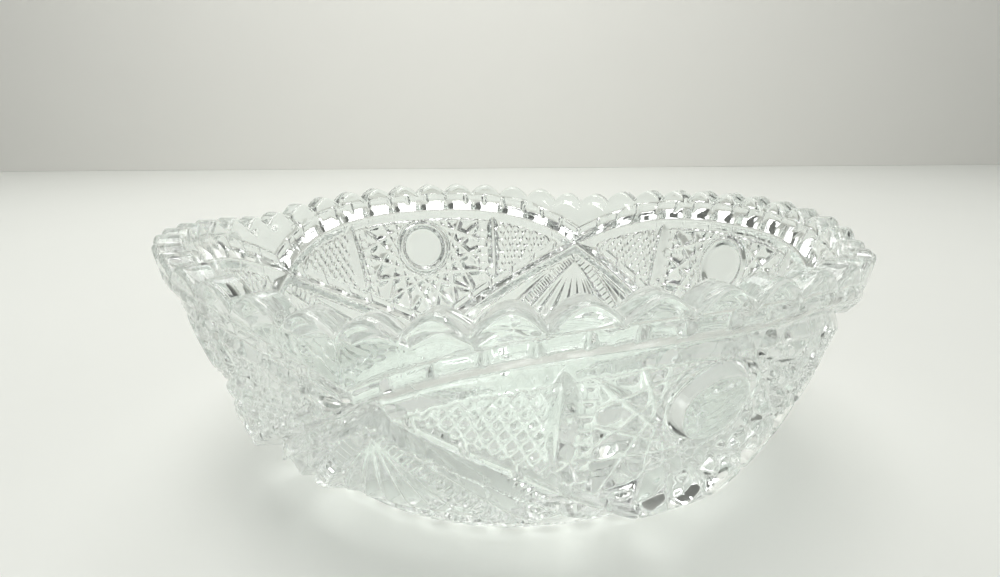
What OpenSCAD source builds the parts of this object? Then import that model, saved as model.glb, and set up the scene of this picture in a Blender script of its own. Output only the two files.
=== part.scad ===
// Pressed-glass serving bowl in a cut-glass pattern: a smooth inner bowl that carries the blocks left
// standing between the mitre bands. The pattern repeats four times. Seen from the front, each panel is a
// shield: an arch above, two straight bands that meet in a V below, and a hobstar in the middle.
// Millimetres, +Z up, origin at the centre of the foot's underside.
// An angle u runs from a panel's centre line, and an angle w from the junction between two panels.

/* [Bowl] */
// Radius of the rim at its highest scallops
rim_r = 70; // [66:1:76]
// Height of the highest scallops above the table
top_h = 50; // [49:0.5:53]
// Radius of the flat that the bowl rests on
base_r = 40.5; // [39.5:0.5:42]
// Radius at the heel, where the cone under the bowl turns up into its side
heel_r = 55.5; // [54.5:0.5:57.5]
// Height of the heel
heel_h = 11; // [10:0.5:12]
// Power of the side's curve above the heel, lower is more bellied
belly = 0.78; // [0.7:0.02:0.86]
// Thickness of the glass at the bowl's floor, foot included
floor_t = 6.5; // [6:0.25:8]
// Radius of the flat floor inside
floor_r = 35; // [32:1:37]
// Thickness of the rim
rim_t = 5.6; // [5.4:0.2:7]

/* [Rim] */
// Scallops along one panel's edge
scallops = 12; // [11:1:14]
// Radius of the rounded top of one scallop
scallop_r = 5.2; // [5.1:0.1:6]
// Half the height that the rim rises from a junction to a panel's centre
wave = 2; // [1:0.25:2.5]

/* [Pattern] */
// Depth of the mitre bands, from the outside face down to the inner bowl
cut = 3.2; // [2.8:0.2:3.6]
// Height of the arch at a panel's centre
arch_h = 43.8; // [43:0.2:44]
// Height where the arches of two panels cross
junction_h = 33; // [32:0.5:34]
// Height where the two straight bands of a panel meet
vee_h = 6; // [5.5:0.5:7]
// Width of a plain mitre band, measured upright
band_w = 5; // [4.4:0.2:5.4]
// Width of the notched rib beside a band, measured upright
rib_w = 2.4; // [2:0.1:2.6]
// Width of a ladder strip, measured upright
ladder_w = 3.8; // [3.2:0.1:4.2]
// Drop of a ladder strip for each degree round the bowl
ladder_fall = 1.04; // [0.95:0.01:1.1]
// Radius of the round button in a hobstar
button_r = 7; // [5:0.5:8]
// Points of the star round the button
star_points = 16; // [12:2:20]
// Distance between two hobnail grooves
hobnail_pitch = 3.4; // [3.2:0.1:5]
// Flutes of a fan
fan_flutes = 7; // [5:2:9]
// Rays cut in the foot's underside
foot_rays = 16; // [8:2:24]

/* [Hidden] */
$fn = 96;

panel_a = 90;           // angle of one panel
half_a = panel_a / 2;
reach = rim_r + 10;     // clear of every outside face
gap = 0.3;              // between a block and the band beside it
foot_h = 2;             // height of the foot's bevelled edge
seat_h = 41.5;          // flat top of the inner bowl, under the rim sections
collar_lean = 0.2;      // radius the collar under the rim loses for each millimetre down
inner_power = 0.34;     // curve of the inside
inside_steps = 8;
crowding = 2.2;         // crowds the inside's points towards its floor
wall_heights = concat([foot_h, (foot_h + heel_h) / 2], [for (k = [0, 0.05, 0.13, 0.24, 0.4, 0.6, 0.8, 1.03])
  heel_h + (top_h - heel_h) * k]);
line_step = 5;          // angle between the points of an arch
arch_power = 2.75;      // flatness of the arch's top
leaf_a = [18.6, 22.6];  // angles on each side between which an upright leaf cut stands
notch_w = 1;            // notches across the ribs
notch_depth = 1;
arch_cells = 17;
vee_cells = 14;
rung_w = 0.9;           // grooves between a ladder's rungs
rung_depth = 1.6;
ladder_rungs = 9;
ladder_from_a = 4;      // angle from the junction where a ladder strip starts
flute_w = 1;            // grooves between a fan's flutes
flute_depth = 2;
hobnail_cut = 1.1;      // width of a hobnail groove
hobnail_depth = 1.4;
hobnail_lean = 30;      // angle of the grooves from upright
field_depth = 1.2;      // ground of a hobstar, under the outside face
star_r = 15;
star_valley_r = 10;
button_h = 30;          // height of the button's centre
button_proud = 0.8;
button_bevel = 1.8;
foot_ray_from = 4;
foot_ray_to = 33;
foot_ray_side = 1.8;

clear_glass = [0.84, 0.88, 0.86, 0.6];
cut_glass = [0.72, 0.79, 0.78, 0.85];
bright_glass = [0.92, 0.95, 0.94, 0.9];

// Outside radius at height h
function side_r(h) = h <= heel_h
  ? base_r + (heel_r - base_r) * h / heel_h
  : heel_r + (rim_r - heel_r) * pow((h - heel_h) / (top_h - heel_h), belly);
// Radius gained for each millimetre of height
function side_slope(h) = h <= heel_h
  ? (heel_r - base_r) / heel_h
  : (rim_r - heel_r) * belly / (top_h - heel_h) * pow((h - heel_h) / (top_h - heel_h), belly - 1);
// Point of the wall's section at height h of the outside, moved in by depth d along the normal
function wall_point(h, d) =
  let (s = side_slope(h), n = sqrt(1 + s * s)) [side_r(h) - d / n, h + d * s / n];
// Outside radius of the collar at height h
function collar_r(h) = rim_r - collar_lean * (top_h - h);
// Outside of the wall, moved in by depth d, from the foot up
function wall_line(d) = [for (h = wall_heights) wall_point(h, d)];
function backwards(line) = [for (i = [len(line) - 1:-1:0]) line[i]];
// Height of the scallops' tips at angle u
function tip_h(u) = top_h - 2 * wave * (1 - pow(abs(cos(2 * u)), 0.8));
// Height of the edge between an arch's rib and its plain band
function arch_line(u) = arch_h - (arch_h - junction_h) * pow(min(abs(u), half_a) / half_a, arch_power);
// The same edge where the line runs on as a straight band, down to the panel's centre
function vee_line(u) = vee_h + (junction_h - vee_h) * abs(u) / half_a;
// Lower edge of the straight band at angle w from a junction
function band_foot(w) = vee_line(half_a - w) - band_w;
// Centre of the ladder strip that drops from the junction under that band
function ladder_line(w) = junction_h - band_w - ladder_fall * w;
// Angle from the junction where the straight band, and where the ladder strip, meets the foot
band_end_a = half_a * (junction_h - band_w - foot_h) / (junction_h - vee_h);
ladder_end_a = (junction_h - band_w - ladder_w / 2 - foot_h) / ladder_fall;
// Point of the front view: y across, z up
function seen(a, h) = [side_r(h) * sin(a), h];
// Inside of the bowl, from the floor up
function inside_point(t) =
  [floor_r + (rim_r - rim_t - floor_r) * pow(t, inner_power), floor_t + (top_h - floor_t) * t];
inside_line = concat([for (i = [0:inside_steps]) inside_point(pow(i / inside_steps, crowding))],
  [[rim_r - rim_t + 0.4, top_h + 3]]);

// Quarter turn of a section, centred on +X
module quarter() {
  rotate([0, 0, -half_a])
    rotate_extrude(angle = panel_a)
      children();
}

// Outline in the front view, carried out along +X
module outward() {
  rotate([90, 0, 90])
    linear_extrude(height = reach)
      children();
}

// The rim stands out from the side as a steeper collar, inside an outline of the front view
module collar() {
  intersection() {
    quarter()
      polygon(concat(wall_line(cut), [[collar_r(top_h + 2), top_h + 2], [collar_r(foot_h), foot_h]]));
    outward()
      children();
  }
}

// Cut into the collar's face, inside an outline of the front view
module rim_notch() {
  intersection() {
    quarter()
      polygon([
        [collar_r(0) - notch_depth, 0],
        [reach, 0],
        [reach, top_h],
        [collar_r(top_h) - notch_depth, top_h]
      ]);
    outward()
      children();
  }
}

// Part of the wall between two depths, inside an outline of the front view
module block(d_out = 0, d_in = cut) {
  intersection() {
    quarter()
      polygon(concat(wall_line(d_out), backwards(wall_line(d_in))));
    outward()
      children();
  }
}

// Straight stroke of the front view
module stroke(p, q, width) {
  d = q - p;
  side = [-d[1], d[0]] * width / 2 / norm(d);
  polygon([p - side, q - side, q + side, p + side]);
}

// All of the front view that lies below an arch by a margin
module under_arch(margin) {
  polygon(concat(
    [for (u = [-half_a:line_step:half_a]) seen(u, arch_line(u) - margin)],
    [[reach, junction_h - margin], [reach, -reach], [-reach, -reach], [-reach, junction_h - margin]]
  ));
}

// All of the front view that lies above the V of the straight bands by a margin
module above_vee(margin) {
  polygon(concat(
    [for (u = [-half_a:line_step:half_a]) seen(u, vee_line(u) + margin)],
    [[reach, reach], [-reach, reach]]
  ));
}

// One of the four panels or junctions, at its place
module place(number, turn = 0) {
  rotate([0, 0, (number - 2) * panel_a + turn])
    children();
}

module inner_bowl() {
  color(clear_glass)
    intersection() {
      rotate_extrude()
        polygon(concat(
          [[0, foot_h], [side_r(foot_h), foot_h]],
          wall_line(cut),
          backwards(inside_line),
          [[0, floor_t]]
        ));
      cylinder(r = reach, h = seat_h);
    }
}

module foot() {
  color(bright_glass)
    difference() {
      cylinder(r1 = base_r, r2 = side_r(foot_h), h = foot_h);
      for (i = [0:foot_rays - 1])
        rotate([0, 0, i * 360 / foot_rays])
          translate([foot_ray_from, 0, 0])
            rotate([45, 0, 0])
              translate([0, -foot_ray_side / 2, -foot_ray_side / 2])
                cube([foot_ray_to - foot_ray_from, foot_ray_side, foot_ray_side]);
    }
}

// Rounded top of each scallop, with the glass under it
module scallop_row() {
  step = panel_a / scallops;
  width = 2 * reach * tan(step / 2);
  for (i = [0:scallops - 1])
    rotate([0, 0, -half_a + step * (i + 0.5)])
      translate([0, 0, tip_h(-half_a + step * (i + 0.5)) - scallop_r]) {
        rotate([0, 90, 0])
          cylinder(r = scallop_r, h = reach);
        translate([0, -width / 2, -reach])
          cube([reach, width, reach]);
      }
}

// Plain band between an arch and the scalloped edge
module rim_section(number) {
  color(clear_glass)
    place(number)
      intersection() {
        union() {
          collar()
            difference() {
              translate([-reach, 0])
                square([2 * reach, reach]);
              under_arch(-rib_w);
            }
          intersection() {
            quarter()
              polygon(concat(wall_line(cut), backwards(inside_line)));
            translate([0, 0, seat_h])
              cylinder(r = reach, h = top_h);
          }
        }
        scallop_row();
      }
}

// Row of raised cells that follows an arch
module arch_rib(number) {
  step = panel_a / arch_cells;
  color(bright_glass)
    place(number)
      difference() {
        collar()
          intersection() {
            under_arch(-rib_w);
            polygon(concat(
              [for (u = [-half_a:line_step:half_a]) seen(u, arch_line(u))],
              [[reach, junction_h], [reach, reach], [-reach, reach], [-reach, junction_h]]
            ));
          }
        for (i = [1:arch_cells - 1])
          let (u = -half_a + i * step, h = arch_line(u))
            rim_notch()
              stroke([collar_r(h) * sin(u), h - 1], [collar_r(h) * sin(u), h + rib_w + 1], notch_w);
      }
}

// Row of raised cells that follows the V inside a panel
module vee_rib(number) {
  step = panel_a / vee_cells;
  color(bright_glass)
    place(number)
      difference() {
        block()
          intersection() {
            under_arch(band_w + gap);
            above_vee(0);
            polygon(concat(
              [for (u = [-half_a:line_step:half_a]) seen(u, vee_line(u) + rib_w)],
              [[reach, -reach], [-reach, -reach]]
            ));
          }
        for (i = [1:vee_cells - 1])
          let (u = -half_a + i * step, h = vee_line(u))
            block(-1, notch_depth)
              stroke(seen(u, h - 1), seen(u, h + rib_w + 1), notch_w);
      }
}

// Frame of the button: its axis square to the wall, its origin on the outside face
module at_button() {
  tilt = atan(side_slope(button_h));
  translate([side_r(button_h), 0, button_h])
    rotate([0, 90 + tilt, 0])
      children();
}

// Ground of the middle field with the star that stands on it
module hobstar(number) {
  star = [for (i = [0:2 * star_points - 1])
    let (r = i % 2 == 0 ? star_r : star_valley_r, a = i * 180 / star_points) [r * cos(a), r * sin(a)]];
  field_y = side_r(button_h) * sin(leaf_a[0]);
  color(cut_glass)
    place(number)
      difference() {
        union() {
          block(field_depth)
            hobstar_outline(field_y);
          intersection() {
            block()
              hobstar_outline(field_y);
            at_button()
              translate([0, 0, -reach / 4])
                linear_extrude(height = reach / 2)
                  polygon(star);
          }
        }
        at_button()
          cylinder(r = button_r, h = reach / 2, center = true);
      }
}

module hobstar_outline(field_y) {
  intersection() {
    under_arch(band_w + gap);
    above_vee(rib_w + gap);
    translate([-field_y, 0])
      square([2 * field_y, top_h]);
  }
}

// Round button with a bevelled edge
module button(number) {
  color(bright_glass)
    place(number)
      difference() {
        at_button() {
          translate([0, 0, -2 * cut])
            cylinder(r = button_r, h = 2 * cut + button_proud - button_bevel);
          translate([0, 0, button_proud - button_bevel])
            cylinder(r1 = button_r, r2 = button_r - button_bevel, h = button_bevel);
        }
        rotate_extrude()
          polygon(concat([[0, foot_h]], wall_line(cut), [[0, top_h]]));
      }
}

// The two fields of hobnails beside the leaf cuts, crossed by two sets of grooves
module hobnails(number) {
  from_y = side_r(button_h) * sin(leaf_a[1]);
  to_y = rim_r * sin(half_a);
  count = ceil((to_y - from_y) / hobnail_pitch);
  color(cut_glass)
    place(number)
      for (side = [-1, 1])
        difference() {
          block()
            intersection() {
              under_arch(band_w + gap);
              above_vee(rib_w + gap);
              translate([side < 0 ? -to_y : from_y, 0])
                square([to_y - from_y, top_h]);
            }
          block(-1, hobnail_depth)
            for (i = [-count:count], lean = [-1, 1])
              let (foot_y = side * (from_y + to_y) / 2 + i * hobnail_pitch, run = top_h * tan(hobnail_lean))
                stroke([foot_y - lean * run / 2, 0], [foot_y + lean * run / 2, top_h], hobnail_cut);
        }
}

// Fields of the front view between a straight band and the ladder strip that leaves the same junction
module ladder_outline(side) {
  polygon(concat(
    [for (k = [0:3]) let (w = ladder_from_a + (band_end_a - ladder_from_a) * k / 3) seen(side * w, band_foot(w))],
    [for (k = [3:-1:0]) let (w = ladder_from_a + (ladder_end_a - ladder_from_a) * k / 3)
      seen(side * w, ladder_line(w) - ladder_w / 2)]
  ));
}

// The two blocks under the bands that leave a junction, each with a notched strip along its lower edge
module ladders(number) {
  color(bright_glass)
    place(number, half_a)
      for (side = [-1, 1])
        let (
          from = seen(side * ladder_from_a, ladder_line(ladder_from_a)),
          to = seen(side * ladder_end_a, ladder_line(ladder_end_a)),
          along = (to - from) / norm(to - from),
          across = [-along[1], along[0]] * ladder_w / 2 * side
        )
          difference() {
            block()
              ladder_outline(side);
            for (i = [1:ladder_rungs - 1])
              let (p = from + (to - from) * i / ladder_rungs)
                block(-1, rung_depth)
                  stroke(p - across * 1.5, p + across * 0.6, rung_w);
          }
}

// Flutes that spread from a junction down to the foot
module fan(number) {
  end_a = ladder_end_a - gap;
  color(cut_glass)
    place(number, half_a)
      difference() {
        block()
          polygon([for (w = [-end_a, -end_a / 2, 0, end_a / 2, end_a])
            seen(w, ladder_line(abs(w)) - ladder_w / 2 - gap)]);
        for (i = [1:fan_flutes - 1])
          block(-1, flute_depth)
            stroke([0, junction_h - band_w], seen(-end_a + 2 * end_a * i / fan_flutes, 0), flute_w);
      }
}

inner_bowl();
foot();
for (number = [1:4]) {
  rim_section(number);
  arch_rib(number);
  vee_rib(number);
  hobstar(number);
  button(number);
  hobnails(number);
  ladders(number);
  fan(number);
}
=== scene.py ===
# Pressed-glass serving bowl in a cut-glass pattern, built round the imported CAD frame.
#
# The whole surface is one grid of rows (along the wall's section) and columns (round the bowl). Formulas give
# each point how deep it lies under the bowl's outside. The grid's cells are then shared out to the pieces, so
# that neighbours meet face to face, point for point. Inside the script lengths are millimetres and angles
# degrees; a mesh is turned into metres when it is made.

import math

import bpy
import numpy as np
from mathutils import Matrix, Vector


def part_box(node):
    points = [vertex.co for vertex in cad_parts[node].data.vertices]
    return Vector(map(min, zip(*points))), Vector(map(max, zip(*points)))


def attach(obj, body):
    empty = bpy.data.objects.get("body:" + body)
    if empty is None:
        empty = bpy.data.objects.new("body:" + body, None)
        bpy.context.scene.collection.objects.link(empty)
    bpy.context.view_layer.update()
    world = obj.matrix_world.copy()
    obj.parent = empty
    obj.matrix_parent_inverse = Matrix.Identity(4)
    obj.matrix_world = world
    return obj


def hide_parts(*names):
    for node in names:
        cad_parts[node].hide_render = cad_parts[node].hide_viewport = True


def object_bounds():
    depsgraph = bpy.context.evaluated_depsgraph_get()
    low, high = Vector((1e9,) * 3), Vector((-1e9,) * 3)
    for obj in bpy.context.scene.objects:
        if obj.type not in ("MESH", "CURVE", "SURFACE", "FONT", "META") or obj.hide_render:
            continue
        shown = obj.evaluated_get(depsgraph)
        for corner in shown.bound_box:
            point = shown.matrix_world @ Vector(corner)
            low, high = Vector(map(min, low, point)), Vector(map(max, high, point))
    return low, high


MM = 0.001

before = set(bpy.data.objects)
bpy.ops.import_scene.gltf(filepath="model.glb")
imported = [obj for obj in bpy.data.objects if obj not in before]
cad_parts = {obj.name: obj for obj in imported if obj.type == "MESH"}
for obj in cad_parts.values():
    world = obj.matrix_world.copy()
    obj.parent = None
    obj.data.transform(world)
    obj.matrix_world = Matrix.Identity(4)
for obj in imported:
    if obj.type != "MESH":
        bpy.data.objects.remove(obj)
cad_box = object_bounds()


def node_box(name):
    """Lowest and highest corner of a CAD node, in millimetres."""
    low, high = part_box(name)
    return np.array(low) / MM, np.array(high) / MM


# ---------------------------------------------------------------- sizes, taken from the frame
RIM_R = float(cad_box[1][0]) / MM
TOP_H = float(cad_box[1][2]) / MM
FOOT_H = node_box("foot")[1][2]
FOOT_R = node_box("foot")[1][0]
SEAT_H = node_box("inner_bowl")[1][2]
ARCH_RIB = node_box("arch_rib_1")
BUTTON = node_box("button_1")

RIB_W = 2.4                            # notched rib beside a band, measured upright
ARCH_H = ARCH_RIB[1][2] - RIB_W        # arch at a panel's centre
JUNCTION_H = ARCH_RIB[0][2]            # where the arches of two panels cross
VEE_H = node_box("vee_rib_1")[0][2]    # where a panel's straight bands meet
BUTTON_R = (BUTTON[1][0] - BUTTON[0][0]) / 2
BUTTON_H = (BUTTON[1][2] + BUTTON[0][2]) / 2

# ---------------------------------------------------------------- the bowl's section
HEEL_R = 55.5
HEEL_H = 11.0
BELLY = 0.78
CONE = (HEEL_R - FOOT_R) / (HEEL_H - FOOT_H)      # run of the cone under the heel
BASE_R = FOOT_R - CONE * FOOT_H
FLOOR_T = 6.5
FLOOR_R = 35.0
INNER_R = RIM_R - 5.6                  # inside radius at the top
INNER_POWER = 0.34
CUT = 3.2                              # depth of the inner bowl under the outside
ROUND_E = 1.0                          # fire-polished edges of the rim
COLLAR_LEAN = 0.2                      # radius the collar loses for each millimetre down

# ---------------------------------------------------------------- the pattern
PANELS = 4
PANEL_A = 360 / PANELS
HALF_A = PANEL_A / 2
SCALLOPS = 12
SCALLOP_NOTCH = 2.6                    # how far the rim falls between two scallops
WAVE = 2.0
ARCH_POWER = 2.75
BAND_W = 5.0
ARCH_CELLS = 17
VEE_CELLS = 14
LEAF_A = 20.6
LADDER_W = 3.8
LADDER_FALL = 1.04
FAN_FLUTES = 7
HOBNAIL_PITCH = 2.0
STAR_CHORDS = 16
STAR_SKIP = 5                          # a chord joins one star point to the fifth one on
STAR_R = 15.0
FOOT_RAYS = 16
FOOT_LOBES = 40
HOBNAIL_LEAN = 30
LEAF_HALF = 2.5                        # half the width of a leaf cut at its middle
LEAF_STEEP = 1.15                      # its depth for each millimetre of that
RIB_BEVEL = 0.5
PROUD = 2.4                            # a shield's foot stands out by this much
PROUD_RUN = 16                         # height over which that dies away
SETTLE = 3.0                           # length over which the relief dies away into the foot

# cuts of V section, as half the width and the depth
RIB_NOTCH = (0.75, 1.3)
ARCH_BORDER = (0.55, 0.7)
VEE_BORDER = (0.55, 0.8)
ARCH_BAND = (BAND_W / 2, 2.0)
VEE_BAND = (BAND_W / 2, 3.0)
STAR_CUT = (1.7, 1.8)
HOBNAIL_CUT = (0.9, 1.1)
BEAD_EDGE = (0.35, 0.7)
BEAD_CUT = (0.5, 0.9)
RUNG_CUT = (0.85, 0.95)
STRIP_EDGE = (0.45, 0.7)
LOBE_CUT = (2.6, 1.9)

BEAD_PITCH = 2.6
RUNG_PITCH = 1.7
CROSS_EXTRA = 1.5                      # more depth where bands cross
CROSS_CORE = 1.9                       # and how much further the inner bowl draws back there
CROSS_SPREAD = 2.4

# ---------------------------------------------------------------- the grid
COLS = PANELS * 360
CELL = 0.3                             # row spacing on the patterned wall
SOFTEN = 0.7                           # blur of the relief, in cells: the glass is fire-polished


def side_r(h):
    above = np.clip((h - HEEL_H) / (TOP_H - HEEL_H), 0, None)
    return np.where(h <= HEEL_H, BASE_R + CONE * h, HEEL_R + (RIM_R - HEEL_R) * above ** BELLY)


def side_slope(h):
    above = np.clip((h - HEEL_H) / (TOP_H - HEEL_H), 1e-3, None)
    rate = (RIM_R - HEEL_R) * BELLY / (TOP_H - HEEL_H) * above ** (BELLY - 1)
    return np.where(h <= HEEL_H, CONE, np.minimum(rate, CONE))


def wall_point(h, depth):
    """Radius and height of a point at a depth under the outside."""
    slope = side_slope(h)
    steep = np.sqrt(1 + slope * slope)
    return side_r(h) - depth / steep, h + depth * slope / steep


def collar_r(h):
    return RIM_R - COLLAR_LEAN * (TOP_H - h)


def inner_r(z):
    share = np.clip((z - FLOOR_T) / (TOP_H - FLOOR_T), 0, None)
    return FLOOR_R + (INNER_R - FLOOR_R) * share ** INNER_POWER


fine_h = np.linspace(0, TOP_H, 2001)
fine_arc = np.concatenate([[0], np.cumsum(np.hypot(np.diff(fine_h), np.diff(side_r(fine_h))))])


def arc(h):
    """Length along the outside from the table up to height h."""
    return np.interp(h, fine_h, fine_arc)


def rim_top(turn):
    """Height of the scalloped edge at an angle. turn runs from 0 at a junction."""
    step = PANEL_A / SCALLOPS
    centre = (np.floor(turn / step) + 0.5) * step
    across = 2 * np.abs(turn - centre) / step
    u = centre % PANEL_A - HALF_A
    tip = TOP_H - 2 * WAVE * (1 - np.abs(np.cos(np.radians(2 * u))) ** 0.8)
    return tip - SCALLOP_NOTCH * across ** 1.8


def arch_line(u):
    return ARCH_H - (ARCH_H - JUNCTION_H) * (np.minimum(np.abs(u), HALF_A) / HALF_A) ** ARCH_POWER


def vee_line(u):
    return VEE_H + (JUNCTION_H - VEE_H) * np.abs(u) / HALF_A


def ladder_line(w):
    return JUNCTION_H - BAND_W - LADDER_FALL * np.abs(w)


# ---------------------------------------------------------------- relief
def vee(distance, half_width, depth):
    """A V-shaped cut: full depth on its line, nothing beyond its half width."""
    return depth * np.clip(1 - np.abs(distance) / half_width, 0, 1)


def nearest(value, pitch):
    """Distance to the nearest whole multiple of a pitch."""
    return np.abs(value / pitch - np.round(value / pitch)) * pitch


def ramp(value, start, end):
    t = np.clip((value - start) / (end - start), 0, 1)
    return t * t * (3 - 2 * t)


def notched_rib(rise, along, cell):
    """Row of bevelled cells: rise is the height over its lower line, along the run beside it."""
    edge = np.minimum(rise, RIB_W - rise)
    relief = np.maximum(vee(edge, RIB_BEVEL, RIB_BEVEL), vee(nearest(along, cell), *RIB_NOTCH))
    return np.where((rise > 0) & (rise < RIB_W), relief, 0)


def crossing(u, h):
    """1 where four bands cross at a junction, falling to 0 round it."""
    w = HALF_A - np.abs(u)
    return np.exp(-((1.15 * w) ** 2 + (h - JUNCTION_H + BAND_W / 2) ** 2) / (2 * CROSS_SPREAD ** 2))


def hobstar(x, y):
    """A round button in a star: x across and y up from the button's centre."""
    r = np.hypot(x, y)
    inner = STAR_R * math.cos(math.pi * STAR_SKIP / STAR_CHORDS)
    sides = np.stack([
        x * math.cos(k * 2 * math.pi / STAR_CHORDS) + y * math.sin(k * 2 * math.pi / STAR_CHORDS) - inner
        for k in range(STAR_CHORDS)
    ])
    star = vee(np.min(np.abs(sides), axis=0), *STAR_CUT)
    flat, foot, ring = 0.75 * BUTTON_R, BUTTON_R + 0.2, BUTTON_R + 1.5
    button = np.interp(r, [0, flat, foot, ring], [-0.6, -0.9, 2.2, 0.2])
    return np.where(r < ring, button, star)


def hobnails(x, y):
    lean = math.radians(HOBNAIL_LEAN)
    one = nearest(x * math.cos(lean) + y * math.sin(lean), HOBNAIL_PITCH)
    other = nearest(x * math.cos(lean) - y * math.sin(lean), HOBNAIL_PITCH)
    return np.maximum(vee(one, *HOBNAIL_CUT), vee(other, *HOBNAIL_CUT))


def leaf(u, h):
    """Upright leaf cuts on both sides of a hobstar, with a row of beads beside each."""
    across = (np.abs(u) - LEAF_A) * np.radians(1) * side_r(h)
    low, high = vee_line(LEAF_A) + 0.5, arch_line(LEAF_A) - 1.5
    q = np.clip((h - (low + high) / 2) / ((high - low) / 2), -1, 1)
    half = 0.05 + LEAF_HALF * (1 - q * q) ** 0.6
    cut = vee(across, half, LEAF_STEEP * half)
    beside = across + 3.5
    beads = np.maximum(vee(np.abs(beside) - 0.9, *BEAD_EDGE), vee(nearest(arc(h), BEAD_PITCH), *BEAD_CUT))
    row = (np.abs(beside) < 1.25) & (h > vee_line(u) + RIB_W + 0.5) & (h < arch_line(u) - BAND_W - 0.3)
    return cut, beads, row


def below_bands(u, h):
    """Blocks, ladder strips and fans between the straight bands and the foot."""
    w = HALF_A - np.abs(u)
    x = w * np.radians(1) * side_r(h)
    top = vee_line(u) - BAND_W
    strip = (h - ladder_line(w)) / (LADDER_W / 2)
    along = (x - arc(h)) * math.sqrt(0.5)
    edges = vee((np.abs(strip) - 1) * LADDER_W / 2, *STRIP_EDGE)
    rungs = np.maximum(vee(nearest(along, RUNG_PITCH), *RUNG_CUT), edges)
    foot = ladder_line(w) + LADDER_W / 2
    share = np.clip((h - foot) / np.maximum(top - foot, 0.1), 0, 1)
    block = 0.2 + 1.5 * np.abs(2 * share - 1)
    edge_a = np.maximum((JUNCTION_H - BAND_W - LADDER_W / 2 - h) / LADDER_FALL, 0.05)
    turn = (np.sign(u) * w / edge_a + 1) / 2 * FAN_FLUTES
    flute_w = 2 * edge_a * np.radians(1) * side_r(h) / FAN_FLUTES
    f = 2 * (turn - np.floor(turn)) - 1
    fan = 1.1 + np.minimum(1.9, 0.45 * flute_w) * (1 - np.abs(f))
    return np.where(strip > 1, block, np.where(strip > -1, rungs, fan)), strip


def relief(u, h):
    """Depth under the outside, and how far the surface stands out from it, at every point of the wall."""
    arch, vees = arch_line(u), vee_line(u)
    x = u * np.radians(1) * side_r(h)
    y = arc(h)
    bands = np.maximum(
        vee(h - arch + BAND_W / 2, *ARCH_BAND),
        vee(h - vees + BAND_W / 2, *VEE_BAND),
    )
    ribs = notched_rib(h - arch, (u + HALF_A) * 1.2, PANEL_A / ARCH_CELLS * 1.2)
    ribs = np.maximum(ribs, vee(h - arch - RIB_W, *ARCH_BORDER))
    shield = (h < arch - BAND_W / 2) & (h > vees - BAND_W / 2)
    cut, beads, row = leaf(u, h)
    star = hobstar(side_r(BUTTON_H) * np.sin(np.radians(u)), y - arc(BUTTON_H))
    middle = np.where(row, beads, star)
    field = np.where(np.abs(u) < LEAF_A, middle, hobnails(x, y))
    on_rib = h < vees + RIB_W
    vee_rib = notched_rib(h - vees, (u + HALF_A) * 1.2, PANEL_A / VEE_CELLS * 1.2)
    border = vee(h - vees - RIB_W, *VEE_BORDER)
    inside = np.maximum(np.where(on_rib, vee_rib, field), border)
    inside = np.maximum(inside, np.where(on_rib, 0, cut))
    lower, _ = below_bands(u, h)
    depth = np.where(h > arch, ribs, np.where(shield, inside, lower))
    in_band = (np.abs(h - arch + BAND_W / 2) < BAND_W / 2) | (np.abs(h - vees + BAND_W / 2) < BAND_W / 2)
    depth = np.where(in_band & (h < arch), np.maximum(bands, np.where(shield, cut, 0)), depth)
    depth = depth + CROSS_EXTRA * crossing(u, h) * (h < arch)
    depth = depth * ramp(y - arc(FOOT_H), 0, SETTLE)
    collar = np.where(h > arch, collar_r(h) - side_r(h), 0)
    proud = np.where(shield & (h > vees), PROUD * np.clip(1 - (h - VEE_H) / PROUD_RUN, 0, 1), 0)
    return depth, collar + proud


def soft(field, cells=SOFTEN):
    """The field blurred along rows and, round the bowl, along columns."""
    reach = int(math.ceil(3 * cells))
    taps = np.exp(-0.5 * (np.arange(-reach, reach + 1) / cells) ** 2)
    taps /= taps.sum()
    padded = np.pad(field, ((reach, reach), (0, 0)), mode="edge")
    rows = sum(t * padded[k:k + field.shape[0]] for k, t in enumerate(taps))
    return sum(t * np.roll(rows, k - reach, axis=1) for k, t in enumerate(taps))


# ---------------------------------------------------------------- the skin: every outside point of the bowl
turn = np.arange(COLS) * 360 / COLS                 # from the junction before panel 1
U = turn % PANEL_A - HALF_A
AZIMUTH = np.radians(turn - 90 - HALF_A)            # panel 1 faces -Y


def underside_rows(count=22):
    """Flat underside with a star of rays, from the centre out."""
    r = np.linspace(0, BASE_R, count)[:, None] * np.ones(COLS)
    across = nearest(turn, 360 / FOOT_RAYS) * np.radians(1) * r
    long = (r - 3) / (BASE_R * 0.82 - 3)
    half = 0.05 + 1.3 * np.clip(4 * long * (1 - long), 0, 1) ** 0.5
    return r, vee(across, half, half) * (long > 0) * (long < 1)


def foot_edge_rows(count=10):
    """The foot's bevelled edge, notched into lobes."""
    h = np.linspace(0, FOOT_H, count)[1:-1, None] * np.ones(COLS)
    notch = vee(nearest(turn, 360 / FOOT_LOBES) * np.radians(1) * BASE_R, *LOBE_CUT)
    return wall_point(h, soft(notch * np.sin(np.pi * h / FOOT_H), 0.8))


def wall_rows():
    """The patterned wall from the foot to the rim's edge. Also gives each point's height on the pattern."""
    edge = rim_top(turn) - ROUND_E
    count = int((arc(TOP_H) - arc(FOOT_H)) / CELL)
    levels = np.interp(np.linspace(arc(FOOT_H), arc(TOP_H), count), fine_arc, fine_h)
    share = ((levels - FOOT_H) / (TOP_H - FOOT_H))[:, None]
    h = FOOT_H + share * (edge - FOOT_H)
    depth, out = relief(U * np.ones_like(h), h)
    depth, out = soft(depth), soft(out, 0.7)
    last = (h > edge - 0.4) | (np.arange(count)[:, None] == 0)
    depth = np.where(last, 0, depth)
    r, z = wall_point(h, depth)
    return np.minimum(r + out, RIM_R), z, h


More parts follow.
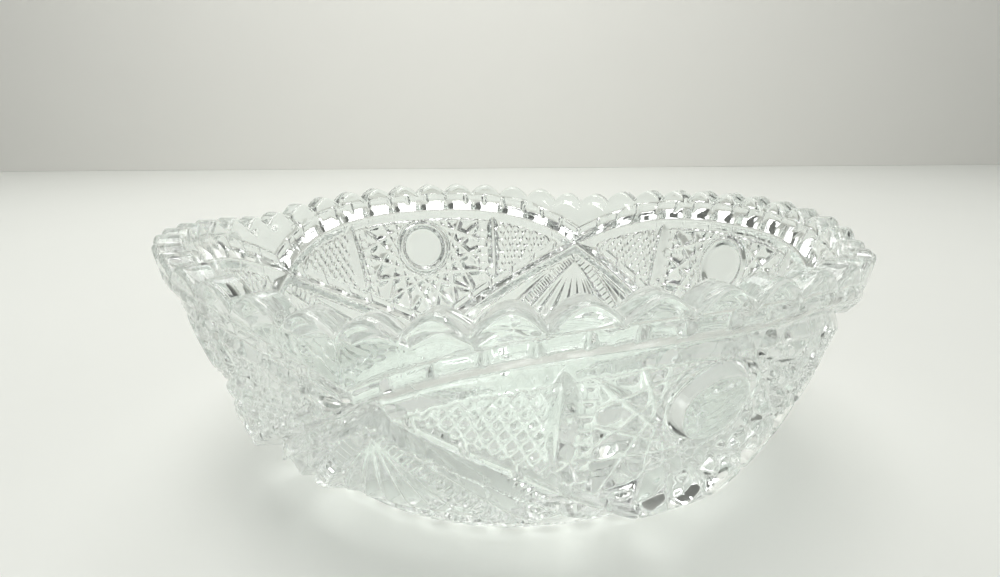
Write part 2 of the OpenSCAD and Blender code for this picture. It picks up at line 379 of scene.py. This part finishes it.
def rim_rows(steps=5, flat=6):
    """Over the scalloped edge: rounded outer corner, the edge across, rounded inner corner."""
    outer = collar_r(rim_top(turn) - ROUND_E) - ROUND_E
    inner = INNER_R + ROUND_E
    corner = np.radians(np.linspace(0, 90, steps + 1)[1:])
    r = [outer + ROUND_E * math.cos(a) for a in corner]
    drop = [ROUND_E * (1 - math.sin(a)) for a in corner]
    r += [outer + (inner - outer) * k / flat for k in range(1, flat + 1)]
    drop += [0] * flat
    r += [inner - ROUND_E * math.sin(a) * np.ones(COLS) for a in corner]
    drop += [ROUND_E * (1 - math.cos(a)) for a in corner]
    r = np.array(r)
    return r, rim_top(turn) - np.array(drop)[:, None]


def inner_rows(steps=8):
    """Down the inside, from the rim to the seat of the rim sections."""
    start = rim_top(turn) - ROUND_E
    t = np.linspace(0, 1, steps + 1)[1:, None]
    z = start + (SEAT_H - start) * t
    settle = ramp(t, 0, 0.6)
    return INNER_R * (1 - settle) + inner_r(z) * settle, z


def bowl_rows(steps=22, floor=12):
    """The rest of the inside: down to the floor and in to its centre."""
    share = (SEAT_H - FLOOR_T) / (TOP_H - FLOOR_T) * (1 - np.linspace(0, 1, steps + 1)[1:]) ** 2.2
    z = FLOOR_T + share * (TOP_H - FLOOR_T)
    r = np.concatenate([inner_r(z), np.linspace(FLOOR_R, 0, floor + 1)[1:]])
    z = np.concatenate([z, np.full(floor, FLOOR_T)])
    return r[:, None] * np.ones(COLS), z[:, None] * np.ones(COLS)


def points(r, z):
    return np.stack([r * np.cos(AZIMUTH), r * np.sin(AZIMUTH), z * np.ones_like(r)], axis=-1)


under_r, under_z = underside_rows()
foot_r, foot_z = foot_edge_rows()
wall_r, wall_z, WALL_H = wall_rows()
over_r, over_z = rim_rows()
in_r, in_z = inner_rows()
bowl_r, bowl_z = bowl_rows()
SKIN = points(
    np.concatenate([under_r, foot_r, wall_r, over_r, in_r, bowl_r]),
    np.concatenate([under_z, foot_z, wall_z, over_z, in_z, bowl_z]),
)
WALL_0 = len(under_r) + len(foot_r)
WALL_1 = WALL_0 + len(wall_r)                       # first row past the patterned wall
SEAT_ROW = WALL_1 + len(over_r) + len(in_r) - 1


def skin_normals():
    """Unit normals of the skin, so that neighbouring pieces shade as one surface."""
    round_ = np.roll(SKIN, -1, axis=1) - np.roll(SKIN, 1, axis=1)
    up = np.gradient(SKIN, axis=0)
    normal = np.cross(round_, up)
    normal[0], normal[-1] = (0, 0, -1), (0, 0, 1)
    return normal / np.maximum(np.linalg.norm(normal, axis=-1, keepdims=True), 1e-12)


NORMALS = skin_normals()


def core_depth(u, h):
    return CUT + CROSS_CORE * crossing(u, h)


def backs():
    """For each skin point of the foot, the wall and the rim, the point behind it on the inner bowl."""
    back = np.zeros_like(SKIN[:SEAT_ROW + 1])
    back[:WALL_0] = points(np.concatenate([under_r, foot_r]), FOOT_H)
    r, z = wall_point(WALL_H, core_depth(U, WALL_H))
    seat_h = WALL_H - (z - SEAT_H)
    above = z > SEAT_H
    full = np.maximum(rim_top(turn) - ROUND_E - SEAT_H + 1.0, 1e-6)
    share = np.clip((WALL_H - seat_h) / full, 0, 1)
    share[-1] = 1
    seat_r = wall_point(SEAT_H - 1.0, CUT)[0]
    r = np.where(above, seat_r + (inner_r(SEAT_H) - seat_r) * share, r)
    back[WALL_0:WALL_1] = points(r, np.where(above, SEAT_H, z))
    back[WALL_1:] = SKIN[SEAT_ROW]
    return back


BACKS = backs()


# ---------------------------------------------------------------- which cell belongs to which piece
def cell_owners():
    """Name of the piece that owns each cell between the underside's centre and the seat row."""
    owner = np.empty((SEAT_ROW, COLS), dtype=object)
    owner[:WALL_0] = "foot"
    h = (WALL_H[:-1] + WALL_H[1:]) / 2
    h = (h + np.roll(h, -1, axis=1)) / 2
    mid = turn + 180 / COLS
    u = (mid % PANEL_A - HALF_A) * np.ones_like(h)
    panel = (mid // PANEL_A).astype(int) % PANELS + 1
    junction = (panel - 1 + np.where(mid % PANEL_A < HALF_A, -1, 0)) % PANELS + 1
    arch, vees = arch_line(u), vee_line(u)
    _, strip = below_bands(u, h)
    x = side_r(BUTTON_H) * np.sin(np.radians(u))
    on_button = np.hypot(x, arc(h) - arc(BUTTON_H)) < BUTTON_R + 0.2
    names = np.select(
        [h > arch + RIB_W, h > arch - BAND_W / 2, h < vees - BAND_W / 2, on_button,
         h < vees + RIB_W, np.abs(u) < LEAF_A],
        ["rim_section_", "arch_rib_", "", "button_", "vee_rib_", "hobstar_"], "hobnails_",
    )
    low = np.where(strip > -1, "ladders_", "fan_")
    number = np.where(names == "", junction, panel)
    names = np.where(names == "", low, names)
    full = np.char.add(names, number.astype(str))
    owner[WALL_0:WALL_1 - 1] = full
    rim = np.char.add("rim_section_", panel.astype(str))
    owner[WALL_1 - 1:] = rim
    return owner


def make_mesh(name, co, normals, faces, kinds):
    """A Blender mesh from faces of four points, some with a repeated point, in millimetres."""
    keep = faces != np.roll(faces, -1, axis=1)
    count = keep.sum(axis=1)
    quads, thirds = faces[count == 4], faces[count == 3]
    thirds = thirds[keep[count == 3]].reshape(-1, 3)
    corners = np.concatenate([quads.ravel(), thirds.ravel()])
    sizes = np.concatenate([np.full(len(quads), 4), np.full(len(thirds), 3)])
    kinds = np.concatenate([kinds[count == 4], kinds[count == 3]])
    used, corners = np.unique(corners, return_inverse=True)
    mesh = bpy.data.meshes.new(name)
    mesh.vertices.add(len(used))
    mesh.vertices.foreach_set("co", (co[used] * MM).astype(np.float32).ravel())
    mesh.loops.add(len(corners))
    mesh.loops.foreach_set("vertex_index", corners.ravel().astype(np.int32))
    mesh.polygons.add(len(sizes))
    mesh.polygons.foreach_set("loop_start", (np.cumsum(sizes) - sizes).astype(np.int32))
    mesh.update(calc_edges=True)
    mesh.polygons.foreach_set("material_index", kinds.astype(np.int32))
    mesh.polygons.foreach_set("use_smooth", np.ones(len(sizes), bool))
    mesh.validate()
    mesh.normals_split_custom_set_from_vertices(normals[used])
    return mesh


def grid_faces(row, col):
    """Cells of a grid as faces of point numbers, turned outwards."""
    after = (col + 1) % COLS
    low, high = row * COLS, (row + 1) * COLS
    return np.stack([low + col, low + after, high + after, high + col], 1)


def close_behind(cells):
    """The faces that close a piece behind its skin cells: the back, and walls along the open edges."""
    point_back = BACK_IDS[cells]
    edges = np.concatenate([cells[:, [k, (k + 1) % 4]] for k in range(4)])
    edges = edges[edges[:, 0] != edges[:, 1]]
    key = edges[:, 0].astype(np.int64) * POINTS + edges[:, 1]
    twin = edges[:, 1].astype(np.int64) * POINTS + edges[:, 0]
    a, b = edges[~np.isin(key, twin)].T
    return np.concatenate([point_back[:, ::-1], np.stack([b, a, BACK_IDS[a], BACK_IDS[b]], 1)])


def piece(name, co, normals, faces, kinds):
    mesh = make_mesh("glass_" + name, co, normals, faces, kinds)
    mesh.materials.append(glass)
    mesh.materials.append(joined)
    obj = bpy.data.objects.new("glass_" + name, mesh)
    bpy.context.scene.collection.objects.link(obj)
    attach(obj, "root")
    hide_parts(name)


# ---------------------------------------------------------------- materials
def glass_material():
    """Clear pressed glass, faintly grey-green, with the ripple that a mould leaves."""
    material = bpy.data.materials.new("pressed_glass")
    material.use_nodes = True
    nodes, links = material.node_tree.nodes, material.node_tree.links
    shader = nodes["Principled BSDF"]
    shader.inputs["Base Color"].default_value = (0.912, 0.944, 0.93, 1)
    shader.inputs["Transmission Weight"].default_value = 1.0
    shader.inputs["IOR"].default_value = 1.52
    place = nodes.new("ShaderNodeTexCoord")
    ripple = nodes.new("ShaderNodeTexNoise")
    ripple.inputs["Scale"].default_value = 220
    ripple.inputs["Detail"].default_value = 2
    links.new(place.outputs["Object"], ripple.inputs["Vector"])
    bump = nodes.new("ShaderNodeBump")
    bump.inputs["Strength"].default_value = 0.06
    bump.inputs["Distance"].default_value = 0.0006
    links.new(ripple.outputs["Fac"], bump.inputs["Height"])
    links.new(bump.outputs["Normal"], shader.inputs["Normal"])
    haze = nodes.new("ShaderNodeMapRange")
    haze.inputs["To Min"].default_value = 0.0
    haze.inputs["To Max"].default_value = 0.015
    links.new(ripple.outputs["Fac"], haze.inputs["Value"])
    links.new(haze.outputs["Result"], shader.inputs["Roughness"])
    path = nodes.new("ShaderNodeLightPath")
    share = nodes.new("ShaderNodeMath")
    share.operation = "MULTIPLY"
    share.inputs[1].default_value = 0.65
    links.new(path.outputs["Is Shadow Ray"], share.inputs[0])
    through = nodes.new("ShaderNodeBsdfTransparent")
    through.inputs["Color"].default_value = (0.95, 0.96, 0.955, 1)
    mix = nodes.new("ShaderNodeMixShader")
    links.new(share.outputs["Value"], mix.inputs["Fac"])
    links.new(shader.outputs["BSDF"], mix.inputs[1])
    links.new(through.outputs["BSDF"], mix.inputs[2])
    links.new(mix.outputs["Shader"], nodes["Material Output"].inputs["Surface"])
    return material


def joined_material():
    """Where two pieces of one pressing meet there is no surface: light goes straight on."""
    material = bpy.data.materials.new("joined_glass")
    material.use_nodes = True
    nodes, links = material.node_tree.nodes, material.node_tree.links
    nodes.remove(nodes["Principled BSDF"])
    clear = nodes.new("ShaderNodeBsdfTransparent")
    links.new(clear.outputs["BSDF"], nodes["Material Output"].inputs["Surface"])
    return material


def matt_material(name, colour, grain):
    material = bpy.data.materials.new(name)
    material.use_nodes = True
    nodes, links = material.node_tree.nodes, material.node_tree.links
    shader = nodes["Principled BSDF"]
    shader.inputs["Roughness"].default_value = 0.55
    place = nodes.new("ShaderNodeTexCoord")
    noise = nodes.new("ShaderNodeTexNoise")
    noise.inputs["Scale"].default_value = 9
    noise.inputs["Detail"].default_value = 6
    links.new(place.outputs["Object"], noise.inputs["Vector"])
    mix = nodes.new("ShaderNodeMix")
    mix.data_type = "RGBA"
    mix.inputs[6].default_value = (*colour, 1)
    mix.inputs[7].default_value = (*[c * (1 - grain) for c in colour], 1)
    links.new(noise.outputs["Fac"], mix.inputs["Factor"])
    links.new(mix.outputs[2], shader.inputs["Base Color"])
    return material


glass = glass_material()
joined = joined_material()

# ---------------------------------------------------------------- the pieces
POINTS = SKIN.shape[0] * COLS
BACK_POINTS = (SEAT_ROW + 1) * COLS
ids = np.arange(POINTS).reshape(-1, COLS)
back_ids = POINTS + np.arange(BACK_POINTS).reshape(-1, COLS)
meets = np.linalg.norm(SKIN[:SEAT_ROW + 1] - BACKS, axis=-1) < 1e-4
back_ids[meets] = ids[:SEAT_ROW + 1][meets]
back_ids[WALL_1:] = ids[SEAT_ROW]
back_ids[WALL_1 - 1] = ids[SEAT_ROW]
BACK_IDS = back_ids.ravel()
CO = np.concatenate([SKIN.reshape(-1, 3), BACKS.reshape(-1, 3)])
NORMAL = np.concatenate([NORMALS.reshape(-1, 3), np.zeros((BACK_POINTS, 3))])

owners = cell_owners()
for node in sorted(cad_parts):
    if node == "inner_bowl":
        continue
    row, col = np.nonzero(owners == node)
    cells = grid_faces(row, col)
    behind = close_behind(cells)
    faces = np.concatenate([cells, behind])
    if node == "foot":                  # the centre is one point below and one above
        faces = np.where(faces < COLS, 0, faces)
        faces = np.where((faces >= POINTS) & (faces < POINTS + COLS), POINTS, faces)
    kinds = np.concatenate([np.zeros(len(cells), int), np.ones(len(behind), int)])
    piece(node, CO, NORMAL, faces, kinds)


def inner_bowl():
    """The smooth bowl that the pattern stands on: hidden behind the pieces outside, seen inside."""
    wall = np.unique(np.linspace(0, WALL_1 - WALL_0 - 1, 24).astype(int))
    hidden = np.concatenate([
        points(np.linspace(0, FOOT_R, 4)[:, None] * np.ones(COLS), FOOT_H),
        BACKS[WALL_0 + wall],
    ])
    seen = SKIN[SEAT_ROW + 1:]
    grid = np.concatenate([hidden, seen])
    normals = np.concatenate([np.zeros_like(hidden), NORMALS[SEAT_ROW + 1:]])
    normals[len(hidden) - 1] = NORMALS[SEAT_ROW]
    row, col = np.divmod(np.arange((len(grid) - 1) * COLS), COLS)
    faces = grid_faces(row, col)
    last = (len(grid) - 1) * COLS
    faces = np.where(faces < COLS, 0, faces)
    faces = np.where(faces >= last, last, faces)
    kinds = (row < len(hidden) - 1).astype(int)
    piece("inner_bowl", grid.reshape(-1, 3), normals.reshape(-1, 3), faces, kinds)


inner_bowl()

# ---------------------------------------------------------------- camera
HEADING = 26.2                 # from +Y towards +X
AIM_LEFT = 1.14                # the bowl stands a little right of the middle
PITCH = 14.7
ROLL = -0.48
CAMERA_DISTANCE = 2.017 * RIM_R
CAMERA_H = 1.0 * RIM_R


def spot(heading, distance, h):
    """A place in metres: so far from the bowl's axis, away from a heading."""
    a = math.radians(heading)
    return Vector((-distance * math.sin(a), -distance * math.cos(a), h)) * MM


camera = bpy.data.objects.new("camera", bpy.data.cameras.new("camera"))
bpy.context.scene.collection.objects.link(camera)
camera.data.lens = 23.5
camera.data.sensor_width = 36
camera.data.clip_start = 0.01
camera.matrix_world = (
    Matrix.Translation(spot(HEADING, CAMERA_DISTANCE, CAMERA_H))
    @ Matrix.Rotation(math.radians(AIM_LEFT - HEADING), 4, "Z")
    @ Matrix.Rotation(math.radians(90 - PITCH), 4, "X")
    @ Matrix.Rotation(math.radians(ROLL), 4, "Z")
)
bpy.context.scene.camera = camera


# ---------------------------------------------------------------- floor, backdrop and light
def plane(name, width, length, place, material):
    mesh = bpy.data.meshes.new(name)
    w, l = width / 2, length / 2
    mesh.from_pydata([(-w, -l, 0), (w, -l, 0), (w, l, 0), (-w, l, 0)], [], [(0, 1, 2, 3)])
    mesh.materials.append(material)
    obj = bpy.data.objects.new(name, mesh)
    bpy.context.scene.collection.objects.link(obj)
    obj.matrix_world = place


WALL_DISTANCE = 800.0
table = matt_material("table", (0.84, 0.86, 0.82), 0.03)
wall = matt_material("wall", (0.90, 0.90, 0.86), 0.02)
facing = Matrix.Rotation(math.radians(-HEADING), 4, "Z")
plane("floor", 6, 6, Matrix.Translation((0, 0, -0.0002)), table)
upright = facing @ Matrix.Rotation(math.radians(90), 4, "X")
plane("backdrop", 6, 3, Matrix.Translation(spot(HEADING, -WALL_DISTANCE, 1500)) @ upright, wall)


def soft_light(name, place, width, power, colour, aim=Vector((0, 0, 0))):
    lamp = bpy.data.lights.new(name, "AREA")
    lamp.shape = "RECTANGLE"
    lamp.size = width
    lamp.size_y = width * 0.7
    lamp.energy = power
    lamp.color = colour
    obj = bpy.data.objects.new(name, lamp)
    bpy.context.scene.collection.objects.link(obj)
    obj.location = place
    obj.rotation_euler = (aim - place).to_track_quat("-Z", "Y").to_euler()


soft_light("overhead", spot(HEADING + 20, 220, 1100), 0.6, 5.6, (1, 0.99, 0.97))
soft_light("back", spot(HEADING + 170, 500, 700), 0.25, 0.4, (0.98, 0.99, 1))
soft_light(
    "wall_wash", spot(HEADING - 20, -250, 900), 0.7, 3.8, (1, 0.99, 0.97),
    aim=spot(HEADING - 8, -WALL_DISTANCE, 250),
)


def sky():
    """Pale room: bright overhead, dimmer towards the horizon behind the camera."""
    world = bpy.data.worlds.new("room")
    world.use_nodes = True
    nodes, links = world.node_tree.nodes, world.node_tree.links
    background = nodes["Background"]
    place = nodes.new("ShaderNodeTexCoord")
    split = nodes.new("ShaderNodeSeparateXYZ")
    links.new(place.outputs["Generated"], split.inputs["Vector"])
    levels = nodes.new("ShaderNodeValToRGB")
    stops = levels.color_ramp.elements
    stops[0].position, stops[0].color = 0.08, (0.04, 0.042, 0.04, 1)
    stops[1].position, stops[1].color = 0.62, (1.0, 1.0, 0.99, 1)
    low = stops.new(0.3)
    low.color = (0.22, 0.23, 0.22, 1)
    links.new(split.outputs["Z"], levels.inputs["Fac"])
    links.new(levels.outputs["Color"], background.inputs["Color"])
    background.inputs["Strength"].default_value = 0.3
    bpy.context.scene.world = world


sky()

scene = bpy.context.scene
scene.view_settings.view_transform = "Standard"
scene.cycles.max_bounces = 24
scene.cycles.transmission_bounces = 24
scene.cycles.glossy_bounces = 12
scene.cycles.transparent_max_bounces = 64
scene.cycles.sample_clamp_indirect = 20
